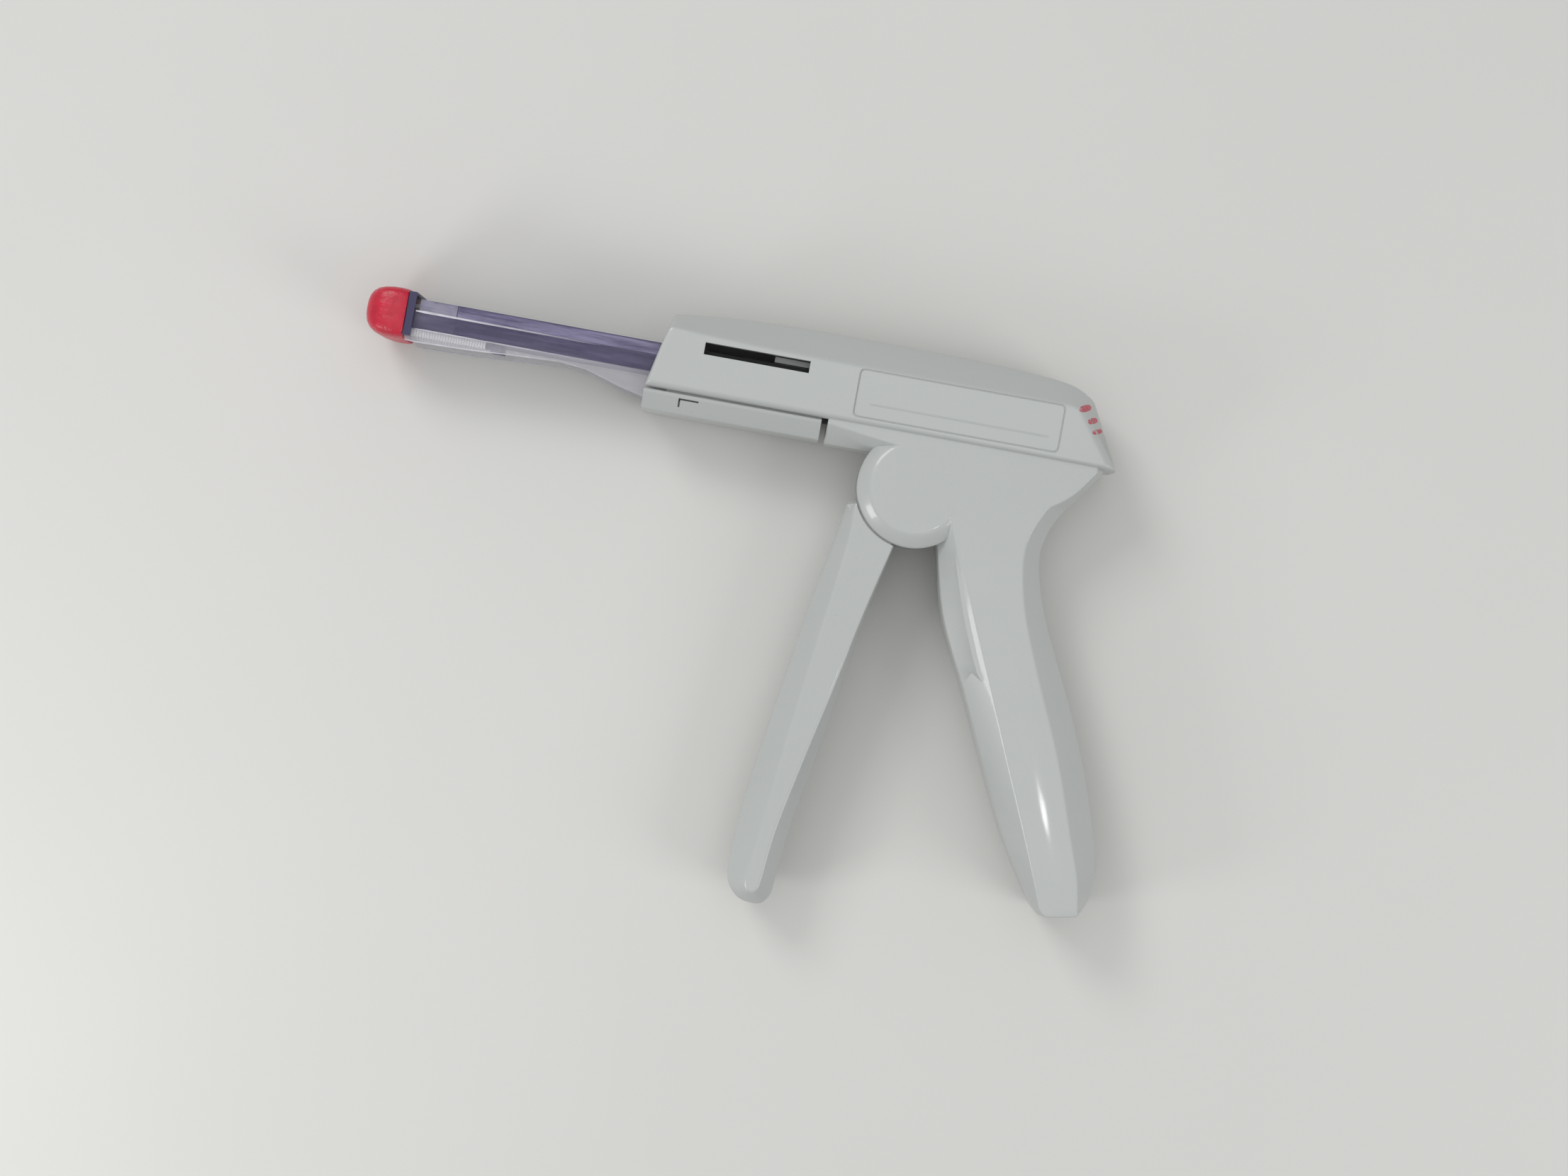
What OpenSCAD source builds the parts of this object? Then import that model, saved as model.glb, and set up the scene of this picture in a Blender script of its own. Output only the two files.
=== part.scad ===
// Skin stapler: a squeezed trigger drives a slide, a lever and a former
// that closes one staple at a time at the tip of a slim clear nose.
// It lies on its side, as on a tray: X runs along the barrel towards the rear,
// Y towards the top of the tool and Z across it. The pivot is the point that
// the outlines are measured from, and the last module moves it into place.

/* [Body] */
// Thickness of the body across its two halves
body_thick = 23; // [21:0.5:26]
// Wall of the moulded body
wall = 2; // [1.4:0.1:2.2]
// From the pivot forward to the body's front corner
cover_front = 61.2; // [60:0.2:66]
// From the pivot back to the body's rear lower corner
cover_back = 42.5; // [40:0.5:48]
// From the pivot up to the top ridge
cover_top = 29.9; // [29:0.1:33]
// From the pivot up to the body's lower lip
cover_lip = 11.1; // [10.6:0.1:11.6]
// Half width of the flat top ridge
ridge_half = 5.5; // [4.5:0.1:6.5]

/* [Pivot] */
// Radius of the pivot boss at its foot
boss_r = 12.7; // [12.4:0.1:13.4]
// Radius of the boss's flat face
boss_face_r = 9.6; // [8.5:0.1:10.5]
// Radius of the steel pivot pin
pivot_r = 3; // [2.5:0.1:3.5]
// Angle that the trigger can be squeezed
trigger_swing = 30; // [24:1:31]

/* [Grip] */
// From the pivot back to the heel of the grip
grip_reach = 53; // [50:0.5:56]
// From the pivot down to the foot of the grip
grip_drop = 85.4; // [80:0.5:90]

/* [Trigger] */
// From the pivot forward to the front of the trigger
trigger_reach = 25.3; // [24:0.1:27]
// From the pivot down to the end of the trigger
trigger_drop = 94; // [88:0.5:98]
// Thickness of the trigger
trigger_thick = 16.4; // [15:0.2:17]
// From the pivot up to the drive pin
horn_r = 17; // [16.6:0.1:17.3]
// Radius of the drive pin
drive_pin_r = 1.2; // [1:0.05:1.4]

/* [Nose] */
// From the pivot forward to the tip of the nose
nose_tip = 117.3; // [114:0.1:122]
// From the pivot up to the top of the nose
nose_top = 21.7; // [21.5:0.1:22]
// Width of the clear nose
nose_w = 17; // [16.6:0.1:17.6]
// Wall of the clear nose
nose_wall = 0.9; // [0.6:0.05:1.1]
// Depth of the cap in front of the nose's tip
cap_front = 5.9; // [4:0.1:8]
// Length that the cap covers
cap_len = 9.2; // [8:0.1:10]
// Wall of the soft cap
cap_wall = 1.2; // [1:0.1:1.6]

/* [Staples] */
// Number of staples in the row
staple_count = 35; // [20:1:35]
// Thickness of the staple wire
wire_t = 0.5; // [0.45:0.01:0.55]
// Width of an open staple
staple_w = 12.4; // [12:0.1:12.6]
// Height of a staple
staple_h = 3.25; // [3:0.05:3.3]
// Width of the anvil that the staple closes round
anvil_w = 6.6; // [6:0.1:7]
// Stroke of the former
former_stroke = 2.6; // [2.4:0.05:2.7]

/* [Window] */
// Length of the window slot
window_len = 22.7; // [18:0.1:24]
// Height of the window slot
window_h = 2.6; // [2:0.1:3]

/* [Fits] */
// Gap between pieces that slide on each other
slide_gap = 0.15; // [0.1:0.01:0.2]
// Radial gap of a pin that turns
pin_gap = 0.05; // [0.03:0.01:0.08]
// Radial gap of a pin that is held fast
seat_gap = 0.02; // [0.01:0.01:0.03]

/* [Hidden] */

// One overrun serves every cut that has to pass a face
overrun = 1;
// Fineness of true round faces
$fn = 48;

// Body: half thicknesses and the bevel's middle line
body_half = body_thick / 2;
boss_half = body_half - 0.6 * wall;
boss_top = boss_half + 0.2 * wall;
frame_edge = ridge_half + 0.2 * wall;
lip_round = 0.6 * wall;
mid_half = body_half - lip_round;
straight_share = (mid_half - ridge_half) / (body_half - ridge_half);
lip_share = 0.25;
inner_half = body_half - wall;
core_half = ridge_half - 0.35 * wall;
floor_half = inner_half - 0.1 * wall;

// Side outline of the body and of its flat side, from the rear lower corner
// over the top to the front, as shares of its length and height
cover_shares = [[1, 0], [0.923, 0.766], [0.889, 0.888], [0.837, 0.947], [0.687, 0.989],
    [0.494, 1], [0.253, 1], [0.108, 0.947], [0.036, 0.899], [0.017, 0.548], [0, 0]];
flat_shares = [[0.966, 0.037], [0.889, 0.633], [0.87, 0.649], [0.831, 0.649], [0.687, 0.649],
    [0.494, 0.65], [0.253, 0.665], [0.108, 0.699], [0.035, 0.723], [0.021, 0.473], [0.008, 0.064]];

// Grip: front and back outlines and the ridges of its flat side, from the
// top down and from the foot up, as shares of its reach and drop
grip_front_shares = [[0.132, -0.14], [0.189, -0.293], [0.274, -0.404], [0.311, -0.445],
    [0.434, -0.609], [0.585, -0.808], [0.679, -0.902], [0.774, -0.99], [0.804, -1]];
ridge_front_shares = [[0.185, -0.1], [0.306, -0.264], [0.381, -0.375], [0.413, -0.422],
    [0.532, -0.595], [0.672, -0.796], [0.74, -0.902], [0.791, -0.984], [0.815, -0.994]];
grip_back_shares = [[0.953, -0.984], [0.991, -0.937], [1, -0.878], [0.981, -0.82],
    [0.925, -0.703], [0.855, -0.586], [0.774, -0.468], [0.679, -0.351], [0.591, -0.234],
    [0.538, -0.117], [0.557, -0.047], [0.6, 0.006], [0.67, 0.047]];
ridge_back_shares = [[0.942, -0.979], [0.93, -0.931], [0.911, -0.878], [0.879, -0.826],
    [0.817, -0.712], [0.751, -0.595], [0.668, -0.48], [0.585, -0.363], [0.509, -0.246],
    [0.468, -0.117], [0.487, -0.049], [0.534, 0.009], [0.623, 0.047]];
// Raised guard at the top of the grip's front, its foot and its crest
guard_low_shares = [[0.132, -0.14], [0.189, -0.293], [0.274, -0.404], [0.391, -0.445],
    [0.415, -0.427], [0.17, -0.07]];
guard_high_shares = [[0.2, -0.146], [0.274, -0.287], [0.364, -0.416], [0.391, -0.433],
    [0.415, -0.422], [0.179, -0.082]];
guard_half = boss_half - 0.5 * wall;
guard_base = core_half + 0.15 * wall;

// Trigger: outline from its top front corner down, round the end and up its
// back, then inside the boss, and its flat side, as shares of reach and drop
trigger_shares = [[-0.549, -0.049], [-0.561, -0.085], [-0.605, -0.154], [-0.692, -0.266],
    [-0.751, -0.372], [-0.81, -0.479], [-0.87, -0.585], [-0.929, -0.691], [-0.976, -0.798],
    [-1, -0.904], [-0.988, -0.957], [-0.87, -0.995], [-0.672, -1], [-0.593, -0.973],
    [-0.553, -0.84], [-0.486, -0.734], [-0.419, -0.638], [-0.352, -0.532], [-0.296, -0.426],
    [-0.241, -0.319], [-0.154, -0.213], [-0.091, -0.138], [-0.075, -0.096], [-0.376, -0.037]];
trigger_flat_shares = [[-0.498, -0.055], [-0.482, -0.096], [-0.49, -0.154], [-0.542, -0.266],
    [-0.589, -0.372], [-0.64, -0.479], [-0.692, -0.585], [-0.731, -0.691], [-0.771, -0.798],
    [-0.814, -0.904], [-0.83, -0.947], [-0.806, -0.968], [-0.735, -0.97], [-0.704, -0.952],
    [-0.672, -0.84], [-0.593, -0.734], [-0.518, -0.638], [-0.427, -0.532], [-0.34, -0.426],
    [-0.261, -0.319], [-0.17, -0.213], [-0.103, -0.14], [-0.075, -0.096], [-0.376, -0.037]];
trigger_half = trigger_thick / 2;
trigger_core = trigger_half - 1.8 * wall;
// Web between the hub and the plate, by its angles about the pivot
web_from = 203;
web_mid = 230;
web_to = 256;
// Corners of the ribbed hollow in the trigger's back, from the top down
pocket_shares = [[-0.42, -0.2], [-0.5, -0.34], [-0.58, -0.48], [-0.66, -0.62], [-0.75, -0.76],
    [-0.84, -0.9]];
rib_w = 1.6;

// Pivot: pocket in the housing, hub of the trigger inside it
pocket_half = boss_half - 1.25 * wall;
boss_low = pocket_half - 0.1 * wall;
hub_half = pocket_half - 0.2 * wall;
hub_r = boss_r - 0.6 * wall;
pocket_r = hub_r + 0.3 * wall;
lever_r = boss_r + 0.2 * wall;
pin_half = pocket_half + 0.8 * wall;

// Underside of the body in front of the boss, and its front jaw
under_y = 0.56 * cover_lip;
jaw_back = 22.5;
jaw_slit = 1.5;
jaw_lap = 0.15;
jaw_half = boss_half - jaw_lap;
jaw_foot_half = jaw_half - 0.85 * wall;
jaw_base = 0.585 * cover_lip;
jaw_front = -cover_front + 0.1 * wall;
latch_slot_x = -53.3;
latch_slot_len = 4.3;
latch_slot_w = 0.6;
latch_slot_drop = 0.95;

// Drive: the horn's pin pushes the slide, a slanted slot tips the lever and
// the lever's tip presses the former
horn_lean = trigger_swing / 2;
drive_travel = 2 * horn_r * sin(horn_lean);
horn_x = horn_r * sin(horn_lean);
horn_low = horn_r * cos(horn_lean);
horn_half = 2.4;
horn_rim = 1;
horn_tip_r = drive_pin_r + horn_rim;
yoke_gap = 0.3;
yoke_t = 1.5;
yoke_in = horn_half + yoke_gap;
yoke_out = yoke_in + yoke_t;
yoke_ahead = 3;
yoke_behind = 3.1;
yoke_drop = 1.7;

// Nose: levels from its roof down to the legs of the staples
roof_t = 0.55;
nose_half = nose_w / 2;
nose_in = nose_half - nose_wall;
guide_top = nose_top - roof_t - slide_gap / 3;
guide_out = nose_in - slide_gap;
guide_wall = 1;
guide_in = guide_out - guide_wall;
guide_roof_t = 0.4;
front_wall = 0.7;
tip_face = -nose_tip + front_wall;
crown_drop = 5.3;
crown_y = nose_top - crown_drop;
rail_top = crown_y - wire_t - wire_t / 25;
rail_t = 0.48;
rail_y = rail_top - rail_t;
floor_t = 0.7;
floor_y = rail_y - floor_t;
part_drop = 3.3;
part_y = nose_top - part_drop;
staple_pitch = 1.16 * wire_t;
stack_len = staple_count * staple_pitch;
stack_front = tip_face + wire_t / 10;
stack_back = stack_front + stack_len;

// Side outline of the clear nose below its roof, from the rear to the tip,
// as shares of its length and of its depth at the cap
nose_depth = 10;
nose_len = nose_tip - cover_front;
skirt_shares = [[1.084, 1.28], [0.995, 1.27], [0.914, 1.16], [0.772, 0.92], [0.665, 0.86],
    [0.487, 0.91], [0.308, 0.97], [0.112, 1], [0.071, 0.985], [0.068, 0.87], [0, 0.86]];
nose_back = -nose_tip + 1.084 * nose_len;
nose_low = nose_top - 1.28 * nose_depth;
nose_round = 1.2;

// Lever, its pivot in the guide and its cam pin
lever_t = 0.8;
lever_half = 2.5;
lever_drop = 2.15;
lever_y = nose_top - lever_drop;
lever_reach = 25.3;
lever_pin_x = -nose_tip + lever_reach;
lever_pin_y = lever_y - lever_t / 4;
lever_pin_r = 0.6;
lever_boss_r = 2 * lever_pin_r;
rib_t = 0.8;
rib_in = lever_half + slide_gap;
rib_out = rib_in + rib_t;
cam_arm = 6;
cam_drop = 0.75;
cam_pin_r = 0.5;
former_mid = stack_front + wire_t / 2;
lever_arm = lever_pin_x - former_mid;
lever_swing = asin(former_stroke / lever_arm);
cam_lift = cam_arm * sin(lever_swing) + cam_drop * (1 - cos(lever_swing));
cam_shift = cam_arm * (cos(lever_swing) - 1) + cam_drop * sin(lever_swing);

// Drive slide
bar_lap = 1;
bar_h = 3.1;
bar_low = part_y - bar_lap;
bar_high = bar_low + bar_h;
fork_in = rib_out + slide_gap;
fork_t = 1;
fork_out = fork_in + fork_t;
fork_nose = 1.2;
fork_heel = 1.7;
bar_rod_r = 1.4;
bar_rod_drop = 2.4;
bar_rod_y = nose_top - bar_rod_drop;
bar_block_back = -34;
flange_x = -3;
flange_t = 1.2;
flange_r = 2.6;
web_rise = 0.7;
web_t = 1.6;
web_high = bar_high + web_rise;
web_low = web_high - web_t;
cam_x = lever_pin_x + cam_arm;
cam_y = lever_pin_y - cam_drop;
cam_fit = 0.08;
cam_slot_r = cam_pin_r + cam_fit;
cam_rim = 0.4;
slot_gap = 0.1;
former_gap = 0.1;

// Feed: shoe behind the staples, strip and the indicator in the window
shoe_len = 3;
shoe_drop = 3.2;
strip_half = 2.8;
strip_y = rail_top + slide_gap / 2;
indicator_front = -34.6;
indicator_back = -25.2;
indicator_out = 8.5;
arm_in = fork_out + 2 * slide_gap;
arm_out = guide_in - slide_gap;
flag_y = guide_top + 1.3 * slide_gap;
post_len = 2.3;
post_rise = 4.7;
post_top = nose_top + post_rise;

// Walls inside the housing that hold the springs and the magazine
stop_x = -24.6;
stop_t = 1.2;
seat_x = -7.4;
seat_t = 1.6;
seat_depth = 0.75 * seat_t;
rest_x = -34;
rest_t = 2;
magazine_back = stop_x - slide_gap;
feed_rod_r = 0.9;
feed_rise = 2.7;
feed_y = nose_top + feed_rise;
feed_coil_r = 1.75;
feed_wire_r = 0.22;
feed_curls = 11;
return_coil_r = 2.1;
return_wire_r = 0.27;
return_curls = 8;

// Window slot and bare panel, by their places on the side
window_back = -27;
window_y = 20;
panel_front = -16.3;
panel_back = 28.2;
panel_low = 12.7;
panel_high = 23.1;
panel_round = 1;
panel_depth = 0.25;

// Sections of the cap from its front: place, width, height and lift as shares
cap_shares = [[0, 0.46, 0.37, 0.06], [0.043, 0.67, 0.59, 0.05], [0.15, 0.85, 0.78, 0.03],
    [0.35, 0.96, 0.93, 0.01], [0.62, 1, 1, 0], [1, 1, 1, 0]];
cap_sides = 32;
cap_square_share = 0.4;
full_turn = 360;

// Centre and base of the whole tool, measured from the pivot
tool_front = -nose_tip - cap_front;
centre_x = (tool_front + grip_reach) / 2;
centre_y = (cover_top - trigger_drop) / 2;

// Colours, as named finishes
shell_grey = [0.74, 0.75, 0.73];
violet = [0.24, 0.20, 0.42];
clear = [0.85, 0.87, 0.92, 0.35];
steel = [0.72, 0.73, 0.75];
cap_red = [0.82, 0.08, 0.20];
flag_grey = [0.55, 0.56, 0.56];

function blend(a, b, k) = a + (b - a) * k;
function unit(v) = v / norm(v);
function level(pts, z) = [for (p = pts) [p.x, p.y, z]];
function cover_point(s) = [blend(-cover_front, cover_back, s.x), blend(cover_lip, cover_top, s.y)];
function grip_point(s) = [s.x * grip_reach, s.y * grip_drop];
function trigger_point(s) = [s.x * trigger_reach, s.y * trigger_drop];
function bulge(c) = sign(c) * pow(abs(c), cap_square_share);
function turn_length(r) = 2 * PI * r;
function skirt_point(s) = [-nose_tip + s.x * nose_len, nose_top - s.y * nose_depth];
// Half thickness of the grip's flat side: level round the boss, then flared to the foot
function grip_half(y) = blend(boss_half, body_half, max(0, -y - boss_r) / (grip_drop - boss_r));
function tilted(pts, drop) = [for (p = pts) [p.x, p.y, grip_half(p.y) - drop]];
// Outline moved inward by d, for an outline that runs counter-clockwise
function inset(pts, d) = [for (i = [0 : len(pts) - 1])
    let (n = len(pts), b = pts[i], u = unit(b - pts[(i + n - 1) % n]),
        v = unit(pts[(i + 1) % n] - b), nu = [-u.y, u.x], nv = [-v.y, v.x])
    b + (nu + nv) * d / (1 + nu * nv)];

cover_outline = [for (s = cover_shares) cover_point(s)];
flat_outline = [for (s = flat_shares) cover_point(s)];
mid_outline = [for (i = [0 : len(cover_outline) - 1])
    blend(cover_outline[i], flat_outline[i],
        i == 0 || i == len(cover_outline) - 1 ? lip_share : straight_share)];

frame_front = -jaw_back + jaw_slit;
frame_top = cover_lip + wall;
grip_front = [for (s = grip_front_shares) grip_point(s)];
grip_back = [for (s = grip_back_shares) grip_point(s)];
ridge_front = [for (s = ridge_front_shares) grip_point(s)];
ridge_back = [for (s = ridge_back_shares) grip_point(s)];
frame_outline = concat(
    [[frame_front, frame_top], [frame_front, under_y], [-0.85 * boss_r, under_y], [0, 0],
        [0.49 * boss_r, -0.71 * boss_r]],
    grip_front, grip_back,
    [[0.908 * cover_back, 0.72 * cover_lip], [0.922 * cover_back, frame_top]]);
ridge_outline = concat(
    [[frame_front + 0.1 * wall, frame_top], [frame_front + 0.1 * wall, 0.94 * cover_lip],
        [-0.08 * boss_r, 0.7 * cover_lip], [0, 0], [0.66 * boss_r, -0.39 * boss_r]],
    ridge_front, ridge_back,
    [[0.885 * cover_back, 0.76 * cover_lip], [0.913 * cover_back, frame_top]]);

// Triangles that close a level of n points, joining its two sides in steps
function strip(n) = [for (i = [0 : n - 1]) let (j = n - 1 - i)
    each [if (i < j - 1) [i, j - 1, j], if (i + 1 < j - 1) [i, i + 1, j - 1]]];

// Triangles that close a level of n points, all from its first point
function fan(n) = [for (i = [1 : n - 2]) [0, i, i + 1]];

// Closed solid through levels that have the same number of points, each level
// running counter-clockwise and higher than the one before, with its end triangles
module stacked(levels, ends) {
    n = len(levels[0]);
    top = (len(levels) - 1) * n;
    polyhedron(
        points = [for (lv = levels) for (p = lv) p],
        faces = concat(
            ends,
            [for (t = ends) [top + t[2], top + t[1], top + t[0]]],
            [for (k = [0 : len(levels) - 2]) for (i = [0 : n - 1])
                let (a = k * n + i, b = k * n + (i + 1) % n) [a, a + n, b + n]],
            [for (k = [0 : len(levels) - 2]) for (i = [0 : n - 1])
                let (a = k * n + i, b = k * n + (i + 1) % n) [a, b + n, b]]));
}

// Box from its low corner to its high corner
module block(low, high) {
    translate(low) cube(high - low);
}

// Moves a piece from the pivot's frame to the tool's own origin
module placed() {
    translate([-centre_x, -centre_y, body_half]) children();
}

// Outer form of one half of the body, passing a little below the joint plane
module half_form() {
    stacked([level(cover_outline, -overrun), level(cover_outline, ridge_half),
        level(mid_outline, mid_half), level(flat_outline, body_half)], fan(len(flat_outline)));
    stacked([level(frame_outline, -2 * overrun), level(frame_outline, frame_edge),
        tilted(ridge_outline, 0)], strip(len(ridge_outline)));
    stacked([level(inset([for (s = guard_low_shares) grip_point(s)], 0.1 * wall), guard_base),
        level([for (s = guard_high_shares) grip_point(s)], guard_half)], strip(len(guard_low_shares)));
    translate([0, 0, boss_low]) cylinder(r = boss_r, h = 0.4 * wall);
    translate([0, 0, boss_low + 0.4 * wall])
        cylinder(r1 = boss_r, r2 = boss_face_r, h = boss_top - boss_low - 0.4 * wall);
}

// Hollows of one half: under the ridge, in the grip, round the trigger's hub
module half_hollow() {
    cover_in = inset(cover_outline, wall);
    stacked([level(cover_in, -overrun), level(cover_in, core_half),
        level(inset(flat_outline, 0.8 * wall), inner_half)], fan(len(flat_outline)));
    ring_top = [boss_r + wall, cover_lip];
    grip_ring = concat([for (k = [0 : 2]) blend(ring_top, grip_front[0], k / 3)],
        grip_front, grip_back, [[0.67 * grip_reach, cover_lip]]);
    ridge_ring = concat([for (k = [0 : 2]) blend(ring_top, ridge_front[0], k / 3)],
        ridge_front, ridge_back, [[0.623 * grip_reach, cover_lip]]);
    stacked([level(inset(grip_ring, wall), -overrun), level(inset(grip_ring, wall), core_half),
        tilted(inset(ridge_ring, 0.8 * wall), wall)], strip(len(ridge_ring)));
    // Floor of the body, open in front of the slit
    block([-cover_front + 1.25 * wall, cover_lip - overrun, -overrun],
        [frame_front, cover_lip + 1.5 * wall, floor_half]);
    block([frame_front - overrun, cover_lip, -overrun], [pocket_r, cover_lip + 1.5 * wall, floor_half]);
    block([frame_front + wall, under_y + wall, -overrun],
        [pocket_r, cover_lip + 1.2 * wall, core_half - 0.1 * wall]);
    translate([0, 0, -overrun]) cylinder(r = pocket_r, h = pocket_half + overrun);
    block([-cover_front - overrun, -grip_drop - overrun, -3 * overrun],
        [grip_reach + overrun, cover_top + overrun, 0]);
    // Mouth for the nose
    block([-cover_front - overrun, cover_lip - overrun, -overrun],
        [-cover_front + 2.5 * wall, nose_top + slide_gap, nose_half + slide_gap]);
}

// Walls inside one half that hold the springs, the slide and the magazine
module half_ribs() {
    block([stop_x, cover_lip + 0.2 * wall, 0], [stop_x + stop_t, guide_top, inner_half + 0.1 * wall]);
    block([seat_x, feed_y - 1.1 * wall, 0], [seat_x + seat_t, cover_top - 0.9 * wall, ridge_half]);
    block([rest_x, cover_lip + 0.2 * wall, 0],
        [rest_x + rest_t, floor_y - slide_gap / 3, inner_half + 0.1 * wall]);
}

// One half of the housing: body, boss and grip in one moulding
module housing_half() {
    difference() {
        union() {
            difference() {
                half_form();
                half_hollow();
            }
            half_ribs();
        }
        translate([0, 0, -overrun]) cylinder(r = pivot_r + seat_gap, h = pin_half + overrun);
        translate([stop_x - overrun, bar_rod_y, 0]) rotate([0, 90, 0])
            cylinder(r = bar_rod_r + slide_gap, h = stop_t + 2 * overrun);
        translate([seat_x - overrun, feed_y, 0]) rotate([0, 90, 0])
            cylinder(r = feed_rod_r + seat_gap, h = seat_depth + overrun);
        block([window_back - window_len, window_y, core_half],
            [window_back, window_y + window_h, body_half + overrun]);
        translate([0, 0, body_half - panel_depth]) panel_form();
    }
}

// Shallow panel with round corners, left bare
module panel_form() {
    height = panel_depth + overrun;
    block([panel_front + panel_round, panel_low, 0], [panel_back - panel_round, panel_high, height]);
    block([panel_front, panel_low + panel_round, 0], [panel_back, panel_high - panel_round, height]);
    for (x = [panel_front + panel_round, panel_back - panel_round])
        for (y = [panel_low + panel_round, panel_high - panel_round])
            translate([x, y, 0]) cylinder(r = panel_round, h = height);
}

module housing_left() {
    color(shell_grey) placed() housing_half();
}

module housing_right() {
    color(shell_grey) placed() mirror([0, 0, 1]) housing_half();
}

// Front jaw under the body: a tray with leaning sides and a latch slot
module underside_cover() {
    jaw_top = cover_lip - jaw_lap;
    jaw_shoulder = jaw_top - 0.35 * wall;
    inner_foot = jaw_foot_half - 0.8 * wall;
    inner_top = jaw_half - 0.8 * wall;
    color(shell_grey) placed() difference() {
        translate([jaw_front, 0, 0]) rotate([0, 90, 0]) linear_extrude(-jaw_back - jaw_front)
            polygon([[-jaw_foot_half, jaw_base], [jaw_foot_half, jaw_base], [jaw_half, jaw_shoulder],
                [jaw_half, jaw_top], [inner_top, jaw_top], [inner_foot, jaw_base + 0.8 * wall],
                [-inner_foot, jaw_base + 0.8 * wall], [-inner_top, jaw_top], [-jaw_half, jaw_top],
                [-jaw_half, jaw_shoulder]]);
        // Slots of the snap that holds the jaw, and room for the nose's foot
        for (side = [-1, 1]) {
            slot_y = jaw_top - latch_slot_drop;
            translate([latch_slot_x, slot_y - latch_slot_w, side * jaw_half - wall])
                cube([latch_slot_len, latch_slot_w, 2 * wall]);
            translate([latch_slot_x, jaw_base + latch_slot_drop, side * jaw_half - wall])
                cube([latch_slot_w, slot_y - jaw_base - latch_slot_drop, 2 * wall]);
        }
        block([jaw_front - overrun, nose_low - slide_gap, -nose_half - slide_gap],
            [nose_back + slide_gap / 2, jaw_top + overrun, nose_half + slide_gap]);
    }
}

// Spring tongue in the jaw that hooks into the foot of the nose
module nose_latch() {
    tongue_half = 0.5 * nose_in;
    tongue_y = jaw_base + 0.8 * wall;
    latch_back = -cover_front + 10 * wall;
    color(steel) placed() {
        block([nose_back + slide_gap, tongue_y, -tongue_half],
            [latch_back, tongue_y + wire_t, tongue_half]);
        block([nose_back + slide_gap, tongue_y, -tongue_half],
            [nose_back + slide_gap + wire_t, floor_y - 2 * slide_gap, tongue_half]);
    }
}

// Clear nose: a channel with a roof, two sides and a front wall
module nose_shroud() {
    color(clear) placed() intersection() {
        difference() {
            translate([0, 0, -nose_half]) linear_extrude(nose_w)
                polygon(concat([for (s = skirt_shares) skirt_point(s)],
                    [[-nose_tip, nose_top], [nose_back, nose_top]]));
            block([tip_face, nose_low - overrun, -nose_in],
                [nose_back + overrun, nose_top - roof_t, nose_in]);
        }
        translate([-nose_tip - overrun, 0, 0]) rotate([0, 90, 0])
            linear_extrude(nose_back + nose_tip + 2 * overrun)
            polygon([[-nose_half, nose_low - overrun], [nose_half, nose_low - overrun],
                [nose_half, nose_top - nose_round], [nose_half - nose_round / 3, nose_top - nose_round / 3],
                [nose_half - nose_round, nose_top], [nose_round - nose_half, nose_top],
                [nose_round / 3 - nose_half, nose_top - nose_round / 3],
                [-nose_half, nose_top - nose_round]]);
    }
}

// Ring round the nose that the cap is pushed against
module nose_collar() {
    ring_t = 1.6;
    ring_rise = 0.6;
    fit = slide_gap / 5;
    collar_front = -nose_tip - cap_front + cap_len + slide_gap;
    low = nose_top - nose_depth + 2 * ring_rise;
    color(violet) placed() difference() {
        block([collar_front, low, -nose_half - ring_rise],
            [collar_front + ring_t, nose_top + ring_rise, nose_half + ring_rise]);
        block([collar_front - overrun, low - overrun, -nose_half - fit],
            [collar_front + ring_t + overrun, nose_top + fit, nose_half + fit]);
    }
}

// Lower violet moulding: two sides and a floor behind the staples
module magazine() {
    color(violet) placed() {
        for (side = [-1, 1]) {
            middle = side * (guide_in + guide_wall / 2);
            block([tip_face + slide_gap / 3, floor_y, middle - guide_wall / 2],
                [magazine_back, part_y - slide_gap / 2, middle + guide_wall / 2]);
        }
        block([stack_back + shoe_len + slide_gap, floor_y, -guide_in],
            [magazine_back, rail_y, guide_in]);
    }
}

// Upper violet moulding: two sides, a roof and the two ribs of the lever
module driver_guide() {
    roof_low = guide_top - guide_roof_t;
    guide_front = -nose_tip + cap_front;
    color(violet) placed() {
        for (side = [-1, 1]) {
            middle = side * (guide_in + guide_wall / 2);
            block([guide_front, part_y, middle - guide_wall / 2],
                [magazine_back, guide_top, middle + guide_wall / 2]);
            rib_middle = side * (rib_in + rib_t / 2);
            difference() {
                block([lever_pin_x - lever_boss_r, lever_pin_y - lever_boss_r, rib_middle - rib_t / 2],
                    [lever_pin_x + lever_boss_r, guide_top, rib_middle + rib_t / 2]);
                translate([lever_pin_x, lever_pin_y, rib_middle - rib_t])
                    cylinder(r = lever_pin_r + seat_gap, h = 2 * rib_t);
            }
        }
        block([lever_pin_x - 2 * lever_boss_r, roof_low, -guide_in],
            [-cover_front + wall, guide_top, guide_in]);
    }
}

// Steel rail that the staples straddle; its front end is the anvil
module anvil_rail() {
    color(steel) placed()
        block([stack_front, rail_y, -anvil_w / 2], [bar_block_back - 3 * wall, rail_top, anvil_w / 2]);
}

// One open staple, square to the barrel, with its legs down
module staple() {
    leg_z = staple_w / 2 - wire_t;
    block([0, crown_y - wire_t, -staple_w / 2], [wire_t, crown_y, staple_w / 2]);
    for (z = [-staple_w / 2, leg_z])
        block([0, crown_y - staple_h, z], [wire_t, crown_y, z + wire_t]);
}

module staple_stack() {
    color(steel) placed()
        for (i = [0 : staple_count - 1])
            translate([stack_front + i * staple_pitch, 0, 0]) staple();
}

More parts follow.
